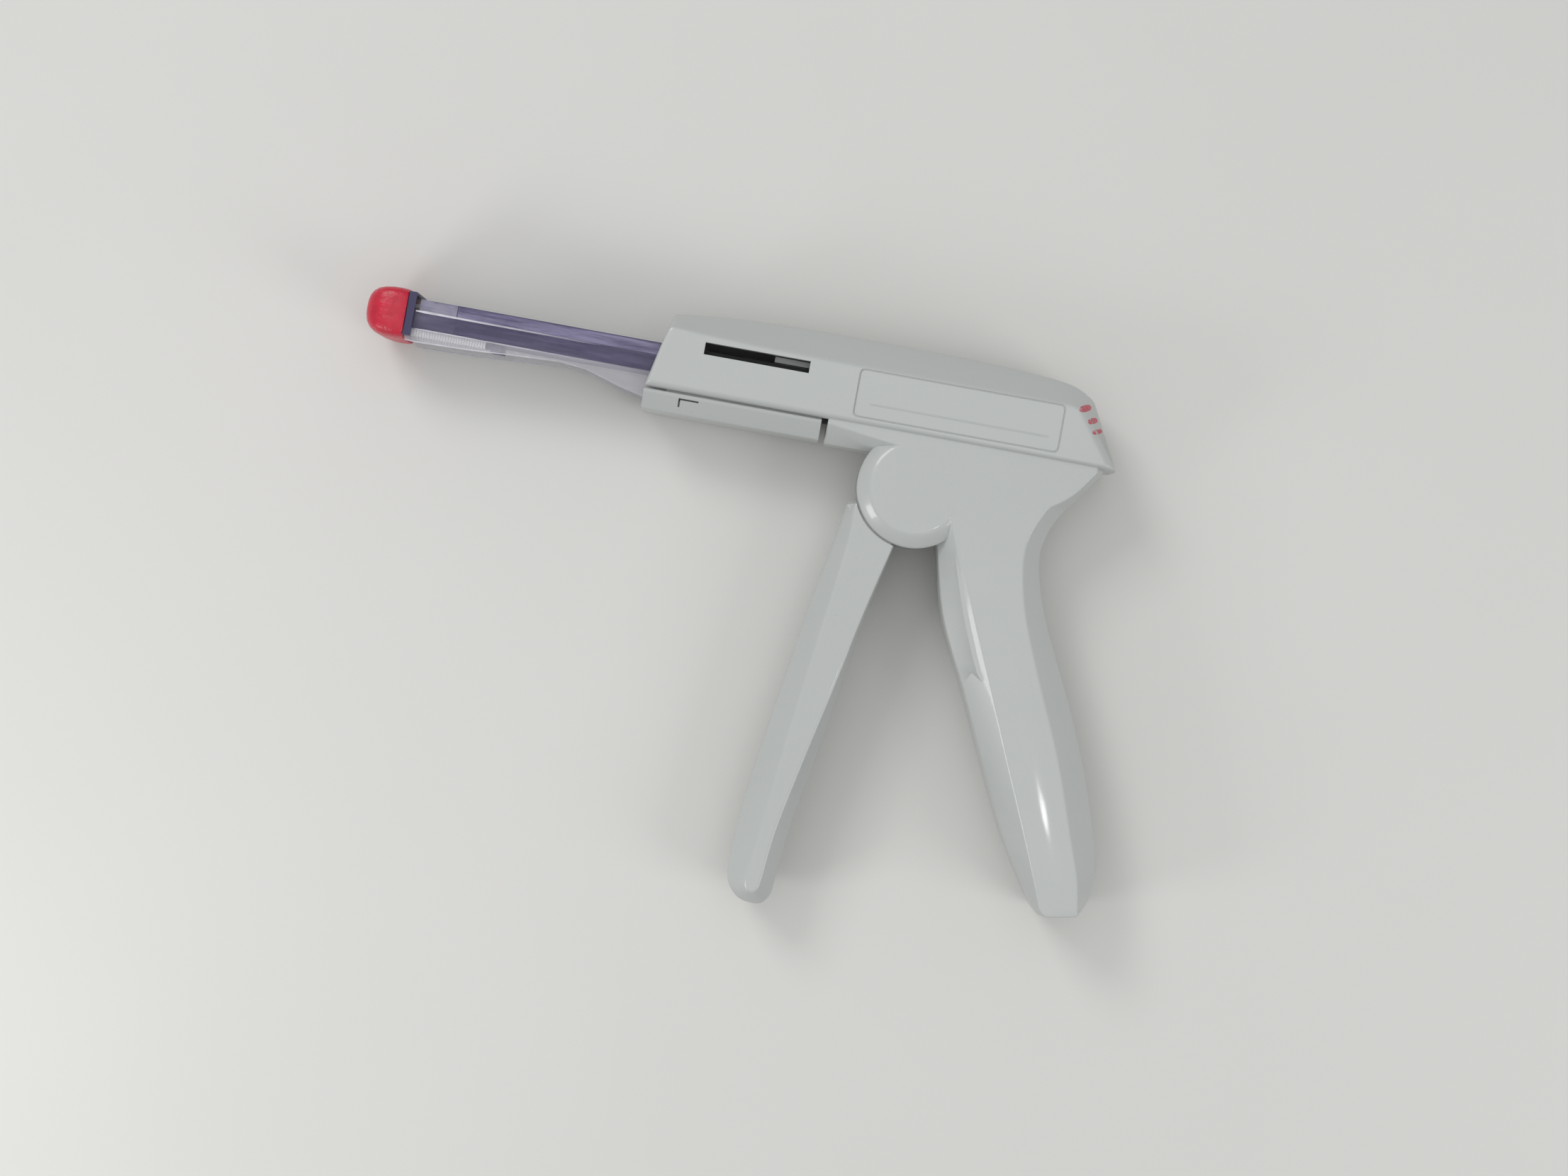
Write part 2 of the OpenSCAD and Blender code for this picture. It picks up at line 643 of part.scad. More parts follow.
// Shoe that pushes the row of staples
module feed_shoe() {
    color(violet) placed() {
        block([stack_back, strip_y, -staple_w / 2], [stack_back + shoe_len, crown_y, staple_w / 2]);
        for (side = [-1, 1]) {
            leg_in = anvil_w / 2 + slide_gap;
            middle = side * (leg_in + staple_w / 2) / 2;
            half = (staple_w / 2 - leg_in) / 2;
            block([stack_back, crown_y - shoe_drop, middle - half],
                [stack_back + shoe_len, crown_y, middle + half]);
        }
    }
}

// Flat strip that links the shoe with the indicator
module feed_strip() {
    color(steel) placed()
        block([stack_back + shoe_len, strip_y, -strip_half], [indicator_back, crown_y, strip_half]);
}

// Grey block that shows in the window: base, two arms, flags and a post
module stack_indicator() {
    base_top = bar_low - slide_gap;
    color(flag_grey) placed() {
        block([indicator_front, crown_y, -arm_out], [indicator_back, base_top, arm_out]);
        for (side = [-1, 1]) {
            middle = side * (arm_in + arm_out) / 2;
            half = (arm_out - arm_in) / 2;
            block([indicator_front, crown_y, middle - half],
                [indicator_back, flag_y + slide_gap, middle + half]);
        }
        block([indicator_front, flag_y, -indicator_out],
            [indicator_back, window_y + window_h - slide_gap, indicator_out]);
        block([indicator_back - post_len, flag_y, -strip_half],
            [indicator_back, post_top, strip_half]);
    }
}

// Unbroken tube along X from x_front to x_back, wound about the line y = axis_y
module coil(x_front, x_back, axis_y, coil_r, wire_r, curls) {
    rings = 8 * curls;
    sides = 6;
    pitch = (x_back - x_front - 2 * wire_r) / curls;
    function centre(t) = [x_front + wire_r + t * pitch,
        axis_y + coil_r * cos(full_turn * t), coil_r * sin(full_turn * t)];
    function ring(k) = let (t = k / 8, c = centre(t),
            along = unit([pitch, -turn_length(coil_r) * sin(full_turn * t),
                turn_length(coil_r) * cos(full_turn * t)]),
            out = [0, cos(full_turn * t), sin(full_turn * t)], side = cross(along, out))
        [for (j = [0 : sides - 1]) let (a = -j * full_turn / sides)
            c + wire_r * (cos(a) * out + sin(a) * side)];
    points = [for (k = [0 : rings]) each ring(k)];
    last = rings * sides;
    polyhedron(points = points, faces = concat(
        [[for (j = [sides - 1 : -1 : 0]) j]],
        [[for (j = [0 : sides - 1]) last + j]],
        [for (k = [0 : rings - 1]) for (j = [0 : sides - 1])
            let (a = k * sides + j, b = k * sides + (j + 1) % sides) [a, b, b + sides]],
        [for (k = [0 : rings - 1]) for (j = [0 : sides - 1])
            let (a = k * sides + j, b = k * sides + (j + 1) % sides) [a, b + sides, a + sides]]));
    least = min([for (k = [sides : rings - 1]) norm(centre(k / 8) - centre(k / 8 - 1))]) - 2 * wire_r;
    echo(least_gap = least);
}

// Spring that presses the row of staples forward
module follower_spring() {
    color(steel) placed() coil(indicator_back + slide_gap, seat_x - slide_gap, feed_y,
        feed_coil_r, feed_wire_r, feed_curls);
}

// Rod that keeps the long spring straight
module spring_rod() {
    color(steel) placed() translate([indicator_back + 5 * slide_gap, feed_y, 0]) rotate([0, 90, 0])
        cylinder(r = feed_rod_r, h = seat_x + seat_depth - indicator_back - 5 * slide_gap);
}

// Drive slide: fork with cam slots, block, rod, flange and yoke
module drive_bar() {
    fork_front = cam_x - fork_nose;
    fork_back = cam_x + drive_travel + fork_heel;
    yoke_front = horn_x - yoke_ahead;
    yoke_back = horn_x + yoke_behind;
    color(violet) placed() difference() {
        union() {
            for (side = [-1, 1]) {
                middle = side * (fork_in + fork_t / 2);
                block([fork_front, bar_low, middle - fork_t / 2],
                    [fork_back + overrun, bar_high, middle + fork_t / 2]);
            }
            block([fork_back, bar_low, -fork_out], [bar_block_back, bar_high, fork_out]);
            translate([bar_block_back - overrun, bar_rod_y, 0]) rotate([0, 90, 0])
                cylinder(r = bar_rod_r, h = flange_x - bar_block_back + 2 * overrun);
            translate([flange_x - flange_t, bar_rod_y, 0]) rotate([0, 90, 0])
                cylinder(r = flange_r, h = flange_t);
            block([flange_x - overrun / 2, web_low, -yoke_out], [yoke_back, web_high, yoke_out]);
            for (side = [-1, 1]) {
                middle = side * (yoke_in + yoke_t / 2);
                block([yoke_front, horn_low - yoke_drop, middle - yoke_t / 2],
                    [yoke_back, web_high, middle + yoke_t / 2]);
            }
        }
        for (y = [0, 1])
            translate([cam_x + y * drive_travel, cam_y + y * cam_lift, -fork_out - overrun])
                cylinder(r = cam_slot_r, h = 2 * fork_out + 2 * overrun);
        slope = atan2(cam_lift, drive_travel);
        translate([cam_x, cam_y, -fork_out - overrun]) rotate([0, 0, slope])
            translate([0, -cam_slot_r, 0])
            cube([norm([cam_lift, drive_travel]), 2 * cam_slot_r, 2 * fork_out + 2 * overrun]);
        slot_half = drive_pin_r + pin_gap;
        for (y = [horn_low - slot_gap, horn_r + slot_gap])
            translate([horn_x, y, -yoke_out - overrun])
                cylinder(r = slot_half, h = 2 * yoke_out + 2 * overrun);
        block([horn_x - slot_half, horn_low - slot_gap, -yoke_out - overrun],
            [horn_x + slot_half, horn_r + slot_gap, yoke_out + overrun]);
    }
}

// Rocking lever: long front arm to the former, short rear arm to the cam pin
module former_lever() {
    cam_boss_r = cam_pin_r + cam_rim;
    arm_back = cam_x - lever_pin_x;
    color(steel) placed() difference() {
        translate([0, 0, -lever_half]) union() {
            translate([stack_front + slide_gap, lever_y, 0])
                cube([lever_pin_x - stack_front - slide_gap, lever_t, 2 * lever_half]);
            translate([lever_pin_x, lever_pin_y, 0]) cylinder(r = lever_boss_r, h = 2 * lever_half);
            linear_extrude(2 * lever_half)
                polygon([[lever_pin_x, lever_pin_y - 0.8 * lever_boss_r],
                    [cam_x, cam_y - 0.8 * cam_boss_r], [cam_x, cam_y + 0.8 * cam_boss_r],
                    [lever_pin_x, lever_y + lever_t]]);
            translate([cam_x, cam_y, 0]) cylinder(r = cam_boss_r, h = 2 * lever_half);
        }
        translate([lever_pin_x, lever_pin_y, -lever_half - overrun])
            cylinder(r = lever_pin_r + pin_gap, h = 2 * lever_half + 2 * overrun);
        translate([cam_x, cam_y, -lever_half - overrun])
            cylinder(r = cam_pin_r + seat_gap, h = 2 * lever_half + 2 * overrun);
    }
}

module lever_pin() {
    color(steel) placed() translate([lever_pin_x, lever_pin_y, -rib_out])
        cylinder(r = lever_pin_r, h = 2 * rib_out);
}

module cam_pin() {
    color(steel) placed() translate([cam_x, cam_y, -fork_out])
        cylinder(r = cam_pin_r, h = 2 * fork_out);
}

// Plate that folds the staple's crown down over the anvil
module former() {
    leg_in = anvil_w / 2 + former_gap;
    slot_top = crown_y + former_stroke + former_gap / 2;
    color(steel) placed() difference() {
        block([stack_front, crown_y + former_gap, -staple_w / 2],
            [stack_front + wire_t, guide_top - former_gap, staple_w / 2]);
        block([stack_front - overrun, crown_y, -leg_in],
            [stack_front + wire_t + overrun, slot_top, leg_in]);
        block([stack_front - overrun, lever_y - former_gap, -lever_half - former_gap],
            [stack_front + wire_t + overrun, lever_y + lever_t + former_gap, lever_half + former_gap]);
    }
}

// Soft cap over the tip: rounded sections that shrink towards the front
module tip_cap() {
    cap_half = nose_half + cap_wall;
    cap_top = nose_top + cap_wall;
    cap_bottom = nose_top - 0.87 * nose_depth - cap_wall;
    middle = (cap_top + cap_bottom) / 2;
    high = (cap_top - cap_bottom) / 2;
    color(cap_red) placed() difference() {
        stacked([for (s = cap_shares) [for (i = [0 : cap_sides - 1])
            let (a = i * full_turn / cap_sides)
            [tool_front + s[0] * cap_len, middle + s[3] * high + s[2] * high * bulge(cos(a)),
                s[1] * cap_half * bulge(sin(a))]]], fan(cap_sides));
        block([-nose_tip - slide_gap, nose_top - 0.86 * nose_depth - slide_gap, -nose_half - slide_gap],
            [tool_front + cap_len + overrun, nose_top + slide_gap, nose_half + slide_gap]);
    }
}

// Squeezed trigger: shaped plate, hub, web and the horn inside the body
module trigger() {
    outline = [for (s = trigger_shares) trigger_point(s)];
    flat = [for (s = trigger_flat_shares) trigger_point(s)];
    web_r = lever_r + wall;
    color(shell_grey) placed() difference() {
        union() {
            difference() {
                stacked([level(flat, -trigger_half), level(outline, -trigger_core),
                    level(outline, trigger_core), level(flat, trigger_half)], strip(len(flat)));
                translate([0, 0, -body_half]) cylinder(r = lever_r, h = body_thick);
                trigger_pocket();
            }
            translate([0, 0, -hub_half]) cylinder(r = hub_r, h = 2 * hub_half);
            translate([0, 0, -hub_half]) linear_extrude(2 * hub_half)
                polygon([[0, 0], [web_r * cos(web_from), web_r * sin(web_from)],
                    [web_r * cos(web_mid), web_r * sin(web_mid)],
                    [web_r * cos(web_to), web_r * sin(web_to)]]);
            rotate([0, 0, -horn_lean]) translate([0, 0, -horn_half]) {
                linear_extrude(2 * horn_half)
                    polygon([[-1.6 * horn_tip_r, 0.8 * hub_r], [1.6 * horn_tip_r, 0.8 * hub_r],
                        [horn_tip_r, horn_r], [-horn_tip_r, horn_r]]);
                translate([0, horn_r, 0]) cylinder(r = horn_tip_r, h = 2 * horn_half);
            }
        }
        translate([0, 0, -body_half]) cylinder(r = pivot_r + pin_gap, h = body_thick);
        rotate([0, 0, -horn_lean]) translate([0, horn_r, -body_half])
            cylinder(r = drive_pin_r + seat_gap, h = body_thick);
    }
}

// Hollow in the trigger's back, crossed by ribs
module trigger_pocket() {
    half = trigger_core - 0.1 * wall;
    for (i = [0 : len(pocket_shares) - 2]) {
        low = trigger_point(pocket_shares[i + 1]);
        high = trigger_point(pocket_shares[i]);
        run = trigger_reach / 2;
        linear_extrude(2 * half, center = true)
            polygon([high + [0, -rib_w / 2], low + [0, rib_w / 2],
                low + [run, rib_w / 2], high + [run, -rib_w / 2]]);
    }
}

module drive_pin() {
    color(steel) placed() rotate([0, 0, -horn_lean]) translate([0, horn_r, -yoke_out])
        cylinder(r = drive_pin_r, h = 2 * yoke_out);
}

module pivot_pin() {
    color(steel) placed() translate([0, 0, -pin_half + seat_gap])
        cylinder(r = pivot_r, h = 2 * pin_half - 2 * seat_gap);
}

// Spring that brings the drive slide and the trigger back
module return_spring() {
    color(steel) placed() coil(stop_x + stop_t + slide_gap / 3, flange_x - flange_t - slide_gap / 3,
        bar_rod_y, return_coil_r, return_wire_r, return_curls);
}

housing_left();
housing_right();
underside_cover();
nose_shroud();
nose_collar();
magazine();
driver_guide();
anvil_rail();
staple_stack();
feed_shoe();
feed_strip();
stack_indicator();
follower_spring();
spring_rod();
drive_bar();
former_lever();
lever_pin();
cam_pin();
former();
tip_cap();
trigger();
drive_pin();
pivot_pin();
return_spring();
nose_latch();
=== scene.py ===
import math

import bmesh
import bpy
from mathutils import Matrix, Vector


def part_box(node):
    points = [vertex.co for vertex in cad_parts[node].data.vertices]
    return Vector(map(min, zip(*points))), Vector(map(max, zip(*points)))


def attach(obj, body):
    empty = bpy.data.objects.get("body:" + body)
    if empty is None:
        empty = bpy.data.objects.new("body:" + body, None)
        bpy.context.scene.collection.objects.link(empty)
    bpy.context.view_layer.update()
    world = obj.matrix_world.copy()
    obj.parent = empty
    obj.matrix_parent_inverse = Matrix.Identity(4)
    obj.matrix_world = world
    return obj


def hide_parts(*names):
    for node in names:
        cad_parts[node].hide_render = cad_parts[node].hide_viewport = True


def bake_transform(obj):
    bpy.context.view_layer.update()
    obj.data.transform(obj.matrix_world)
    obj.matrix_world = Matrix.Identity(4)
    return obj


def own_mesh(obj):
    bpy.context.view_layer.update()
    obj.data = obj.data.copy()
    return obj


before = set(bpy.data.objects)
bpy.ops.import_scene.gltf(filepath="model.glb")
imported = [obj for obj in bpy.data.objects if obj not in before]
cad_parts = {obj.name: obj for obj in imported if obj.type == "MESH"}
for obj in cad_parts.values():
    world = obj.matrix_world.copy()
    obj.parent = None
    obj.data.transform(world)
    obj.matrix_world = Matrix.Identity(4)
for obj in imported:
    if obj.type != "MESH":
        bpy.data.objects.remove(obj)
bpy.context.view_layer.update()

# The body's left half, the one that shows: one moulding of grey ABS that holds
# the flat side, the sloping top, the round pivot boss and the grip. Its walls
# are 2 mm thick, its edges are rounded, and a window and a bare panel are cut in it.
# All outlines are in millimetres, from the middle of the trigger's pivot pin.
pivot = sum(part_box("pivot_pin"), Vector()) / 2
body_half = 11.5
wall = 2.0
side_wall = 1.6
cover_low = 11.1
mouth_half, mouth_top = 8.65, 21.85
hub_room = 12.1
boss_flat = 10.3
rod_high = 19.3
body_rim = [(41.9, 11.1), (34.5, 25.5), (31, 27.8), (25.6, 28.9), (10, 29.7), (-10, 29.9),
            (-35, 29.9), (-50, 28.9), (-57.5, 28), (-59.4, 21.4), (-61.2, 11.1)]
body_flat = [(39, 11.8), (31, 23), (29, 23.3), (25, 23.3), (10, 23.3), (-10, 23.3), (-35, 23.6),
             (-50, 24.2), (-57.6, 24.7), (-59, 20), (-60.4, 12.3)]
grip_front = [(7, -12), (10, -25), (14.5, -34.5), (16.5, -38), (23, -52), (31, -69), (36, -77),
              (41, -84.5), (42.6, -85.4)]
grip_back = [(50.5, -84), (52.5, -80), (53, -75), (52, -70), (49, -60), (45.3, -50), (41, -40),
             (36, -30), (31.3, -20), (28.5, -10), (29.5, -4), (31.8, 0.5), (35.2, 4.8)]
ridge_front = [(9.8, -8.5), (16.2, -22.5), (20.2, -32), (21.9, -36), (28.2, -50.8), (35.6, -68),
               (39.2, -77), (41.9, -84), (43.2, -84.9)]
ridge_back = [(49.9, -83.6), (49.3, -79.5), (48.3, -75), (46.6, -70.5), (43.3, -60.8),
              (39.8, -50.8), (35.4, -41), (31, -31), (27, -21), (24.8, -10), (25.8, -4.2),
              (28.3, 0.8), (33, 4)]
frame_rim = [(-21.3, 16), (-21.3, 6.2), (-10.8, 6.2), (0, 0), (6.2, -9),
             *grip_front, *grip_back, (39.3, 11), (37, 16)]
frame_ridge = [(-21.1, 16), (-21.1, 10.4), (-1, 7.8), (0, 0), (8.4, -5),
               *ridge_front, *ridge_back, (37.5, 10.4), (36, 16)]


def at(x, y, z):
    """A point in millimetres from the pivot, as a place in the frame."""
    return pivot + Vector((x, y, z)) / 1000


def shrunk(outline, gap):
    """The outline moved inward by gap."""
    moved = []
    for i, here in enumerate(outline):
        three = (outline[i - 1], here, outline[(i + 1) % len(outline)])
        before, b, after = (Vector(p) for p in three)
        u, v = (b - before).normalized(), (after - b).normalized()
        nu, nv = Vector((-u.y, u.x)), Vector((-v.y, v.x))
        moved.append(tuple(b + (nu + nv) * gap / (1 + nu.dot(nv))))
    return moved


def eased(path, reach, closed=True, gentle=28, steps=4):
    """The path with a curve at each corner; a bend gentler than that angle becomes one sweep."""
    points = []
    for i, b in enumerate(path):
        if not closed and i in (0, len(path) - 1):
            points.append(b)
            continue
        back, on = path[i - 1] - b, path[(i + 1) % len(path)] - b
        sweep = math.degrees(math.pi - back.angle(on, math.pi)) < gentle
        start, end = (b + side.normalized() * (0.48 * side.length if sweep
                                               else min(reach, 0.45 * side.length))
                      for side in (back, on))
        for k in range(steps + 1):
            t = k / steps
            points.append(start * (1 - t) ** 2 + b * 2 * t * (1 - t) + end * t ** 2)
    return points


def piece(name, points, faces):
    """A new piece of the tool from points in millimetres and faces."""
    mesh = bpy.data.meshes.new(name)
    mesh.from_pydata([at(*p) for p in points], [], faces)
    made = bpy.data.objects.new(name, mesh)
    bpy.context.scene.collection.objects.link(made)
    return made


def skin(name, rings, crown=None):
    """A closed skin over rings that have equally many points and follow one another.
    With a crown, its last ring is closed by rungs that bow up by so much in the middle."""
    n = len(rings[0])
    points = [p for ring in rings for p in ring]
    faces = [[k * n + i, k * n + (i + 1) % n, (k + 1) * n + (i + 1) % n, (k + 1) * n + i]
             for k in range(len(rings) - 1) for i in range(n)]
    top = (len(rings) - 1) * n
    faces.append(list(range(n))[::-1])
    if crown is None:
        faces.append([top + i for i in range(n)])
        return piece(name, points, faces)
    rungs, spans = [], 8
    for k in range(n // 2):
        a, b = top + k, top + n - 1 - k
        between = []
        if 0 < k < (n - 1) // 2:
            for t in (i / spans for i in range(1, spans)):
                rise = min(1, (points[b] - points[a]).length / 12) * crown * 4 * t * (1 - t)
                points.append(points[a].lerp(points[b], t) + Vector((0, 0, rise)))
                between.append(len(points) - 1)
        rungs.append([a, *between, b])
    for upper, lower in zip(rungs, rungs[1:]):
        if len(upper) == len(lower):
            faces += [[upper[i], lower[i], lower[i + 1], upper[i + 1]]
                      for i in range(len(upper) - 1)]
        else:
            faces.append(([upper[0]] + lower + [upper[-1]]) if len(upper) < len(lower)
                         else ([lower[0], lower[-1]] + upper[::-1]))
    if n % 2:
        last = rungs[-1]
        faces.append([last[0], top + n // 2, last[-1]] + last[1:-1][::-1])
    return piece(name, points, faces)


def moulded(name, levels, corner=0.8, edge=0.7, steps=4, crown=None):
    """A moulding through outlines at heights, with its corners and edges rounded.
    A height is a number, or a function of the point's y."""
    rings = [[p.to_3d() for p in eased([Vector(q) for q in outline], corner, steps=steps)]
             for outline, height in levels]
    for ring, (outline, height) in zip(rings, levels):
        for p in ring:
            p.z = height(p.y) if callable(height) else height
    columns = [eased([ring[i] for ring in rings], edge, closed=False, gentle=0, steps=3)
               for i in range(len(rings[0]))]
    return skin(name, [[column[k] for column in columns] for k in range(len(columns[0]))], crown)


def turned(name, profile, middle=(0, 0), sides=96):
    """A round piece about the line at middle, through pairs of radius and height."""
    angles = [2 * math.pi * i / sides for i in range(sides)]
    return skin(name, [[Vector((middle[0] + r * math.cos(a), middle[1] + r * math.sin(a), z))
                        for a in angles] for r, z in profile])


def slab(name, ring, low, high):
    """A block with the ring as its outline, from one height to another."""
    return skin(name, [[Vector((x, y, z)) for x, y in ring] for z in (low, high)])


def brick(name, low, high):
    """A box from its low corner to its high corner, used to cut or to fill."""
    ring = [(low[0], low[1]), (high[0], low[1]), (high[0], high[1]), (low[0], high[1])]
    return slab(name, ring, low[2], high[2])


def worked(base, tools, operation="DIFFERENCE"):
    """The base after each tool has been cut from it or joined to it."""
    for tool in tools:
        step = base.modifiers.new("step", "BOOLEAN")
        step.operation, step.object, step.solver = operation, tool, "MANIFOLD"
        done = bpy.data.meshes.new_from_object(
            base.evaluated_get(bpy.context.evaluated_depsgraph_get()))
        base.modifiers.clear()
        base.data = done
        bpy.data.objects.remove(tool)
    return base


def finished(made, material, body, node=None, crease=32):
    """Smooth faces with creases at real edges, the finish, the body and the node it stands for."""
    made.data.shade_smooth()
    made.data.set_sharp_from_angle(angle=math.radians(crease))
    made.data.materials.clear()
    made.data.materials.append(material)
    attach(made, body)
    if node:
        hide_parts(node)
    return made


def grip_side(drop):
    """Height of the grip's flat side: level round the boss, then flared to the foot."""
    foot, flare = 85.4, 1.06
    return lambda y: boss_flat + flare * min(1, max(0, -y / foot)) ** 1.5 - drop


def half_form():
    """Outer form of one half with its parting line, before it is hollowed."""
    seam = 0.15
    bevel = [tuple(Vector(a).lerp(b, 0.8 if 0 < i < 10 else 0.25))
             for i, (a, b) in enumerate(zip(body_rim, body_flat))]
    form = moulded("form", [
        (shrunk(body_rim, seam), -1), (shrunk(body_rim, seam), 0), (body_rim, seam),
        (body_rim, 5.2), (bevel, boss_flat), (body_flat, body_half),
        (shrunk(body_flat, 1.2), body_half)], edge=0.9)
    grip = moulded("grip", [
        (shrunk(frame_rim, seam), -2), (shrunk(frame_rim, seam), 0), (frame_rim, seam),
        (frame_rim, 5.9), (frame_ridge, grip_side(0)), (shrunk(frame_ridge, 0.7), grip_side(0))],
        edge=0.45, crown=0.15)
    guard = moulded("guard", [
        ([(7.2, -12.1), (10.2, -25), (14.7, -34.3), (20.9, -38.5), (22, -37.2), (9.1, -6.1)], 5.1),
        ([(10.6, -12.5), (14.5, -24.5), (19.5, -36.2), (20.9, -37.9), (22.2, -36.8),
          (9.5, -7)], 9.6)], corner=0.3, edge=0.2)
    boss = turned("boss", [(12.7, 7.6), (12.7, 8), (12.6, 8.35), (12.35, 8.65), (10.3, 10.05),
                           (9.85, 10.28), (9.4, 10.37), (8.8, 10.4), (0.4, 10.42)])
    return worked(form, [grip, guard, boss], "UNION")


def half_hollow(name, form):
    """The half after its hollows, ribs, window, panel and pin seat are made."""
    rim_in = shrunk(body_rim, wall)
    throat = (14.7, cover_low)

    def necked(front, back, end):
        """An outline of the grip that starts at the throat under the cover."""
        lead = [tuple(Vector(throat).lerp(front[0], k / 3)) for k in (1, 2)]
        return [throat] + lead + front + back + [(end, cover_low)]

    grip_in = shrunk(necked(grip_front, grip_back, 35.5), wall)
    ridge_in = shrunk(necked(ridge_front, ridge_back, 33), side_wall)
    hollows = [
        moulded("cover_hollow", [(rim_in, -1), (rim_in, 4.8), (shrunk(body_flat, side_wall), 9.5)],
                corner=0.3, edge=0.2, steps=2),
        moulded("grip_hollow", [(grip_in, -1), (grip_in, 4.8), (ridge_in, grip_side(wall))],
                corner=0.3, edge=0.2, steps=2),
        brick("floor_hollow", (-58.7, 10.1, -1), (-21, 14.1, 9.3)),
        brick("middle_hollow", (-22, cover_low, -1), (hub_room, 14.1, 9.3)),
        brick("arm_hollow", (-19, 8.2, -1), (hub_room, 13.5, 4.6)),
        turned("hub_hollow", [(hub_room, -1), (hub_room, 7.8)]),
        brick("joint_cut", (-63, -87, -3), (55, 32, 0)),
        brick("nose_mouth", (-63, 10.1, -1), (-56.2, mouth_top, mouth_half))]
    worked(form, hollows)
    ribs = [brick("stop_rib", (-24.6, 11.5, 0), (-23.4, 21.1, 9.7)),
            brick("seat_rib", (-7.4, 22.2, 0), (-5.8, 28.1, 5.5)),
            brick("rest_rib", (-34, 11.5, 0), (-32, 14.65, 9.7))]
    worked(form, ribs, "UNION")
    panel = [(-16.3, 12.7), (28.2, 12.7), (28.2, 23.1), (-16.3, 23.1)]
    groove = moulded("panel_groove", [(shrunk(panel, 0.04), body_half - 0.37), (panel, body_half)],
                     corner=1.2, edge=0.03)
    bed = moulded("panel_bed", [(shrunk(panel, 0.3), body_half - 1),
                                (shrunk(panel, 0.36), body_half + 1)], corner=1.1, edge=0.03)
    rod_room = 1.55
    rod = skin("rod_hole", [[Vector((x, rod_high + rod_room * math.cos(a), rod_room * math.sin(a)))
                             for a in (2 * math.pi * i / 32 for i in range(32))]
                            for x in (-25.6, -22.4)])
    cuts = [turned("pin_seat", [(3.02, -1), (3.02, 9.4)]), rod,
            brick("seat_hole", (-8.4, 23.45, -1), (-6.2, 25.35, 0.95)),
            brick("window", (-49.7, 20, 4.8), (-27, 22.6, 12.5)),
            moulded("panel", [(shrunk(panel, 0.06), body_half - 0.25),
                              (shrunk(panel, -0.02), body_half - 0.1),
                              (shrunk(panel, -0.12), body_half + 1)], corner=1.2, edge=0.03),
            worked(groove, [bed])]
    worked(form, cuts)
    rule = brick("panel_rule", (-13, 15.75, body_half - 0.4), (25.5, 15.9, body_half - 0.13))
    worked(form, [rule], "UNION")
    form.name = name
    return form


class Wire:
    """One socket of a shader node. Numbers and other wires can be added to it,
    taken from it and so on, and each operator adds its Math node."""

    def __init__(self, socket):
        self.socket, self.tree = socket, socket.id_data

    def node(self, kind, settings, sockets, output=0):
        """A node of that type, with its settings made first, then its sockets filled."""
        made = self.tree.nodes.new("ShaderNode" + kind)
        for key, value in settings.items():
            if key == "stops":
                ramp = made.color_ramp.elements
                while len(ramp) < len(value):
                    ramp.new(0.5)
                for stop, (place, colour) in zip(ramp, value):
                    stop.position, stop.color = place, (*colour, 1)
            else:
                setattr(made, key, value)
        for key, value in sockets.items():
            if isinstance(value, Wire):
                self.tree.links.new(value.socket, made.inputs[key])
            else:
                made.inputs[key].default_value = value
        return Wire(made.outputs[output])

    def sum(self, operation, a, b):
        return self.node("Math", {"operation": operation}, {0: a, 1: b})

    def __add__(self, other):
        return self.sum("ADD", self, other)

    def __sub__(self, other):
        return self.sum("SUBTRACT", self, other)

    def __rsub__(self, other):
        return self.sum("SUBTRACT", other, self)

    def __mul__(self, other):
        return self.sum("MULTIPLY", self, other)

    def __gt__(self, other):
        return self.sum("GREATER_THAN", self, other)

    def __lt__(self, other):
        return self.sum("LESS_THAN", self, other)

    __radd__, __rmul__ = __add__, __mul__

    def stretched(self, by):
        """This vector times another, place by place."""
        return self.node("VectorMath", {"operation": "MULTIPLY"}, {0: self, 1: by})

    def part(self, axis):
        """One of this vector's three numbers."""
        return self.node("SeparateXYZ", {}, {0: self}, output=axis)

    def grain(self, size, detail=2.0, rough=0.5):
        """Noise whose blots are about that many millimetres across."""
        return self.node("TexNoise", {}, {"Vector": self, "Scale": 1 / size, "Detail": detail,
                                          "Roughness": rough})

    def between(self, a, b):
        """A colour from a, where this is 0, to b, where it is 1."""
        made = self.tree.nodes.new("ShaderNodeMix")
        made.data_type = "RGBA"
        for socket, value in zip((made.inputs[0], made.inputs[6], made.inputs[7]), (self, a, b)):
            if isinstance(value, Wire):
                self.tree.links.new(value.socket, socket)
            else:
                socket.default_value = (*value, 1)
        return Wire(made.outputs[2])

    def ramped(self, low, high):
        """This from 0 at low to 1 at high, and level beyond."""
        return self.node("MapRange", {}, {0: self, 1: low, 2: high})


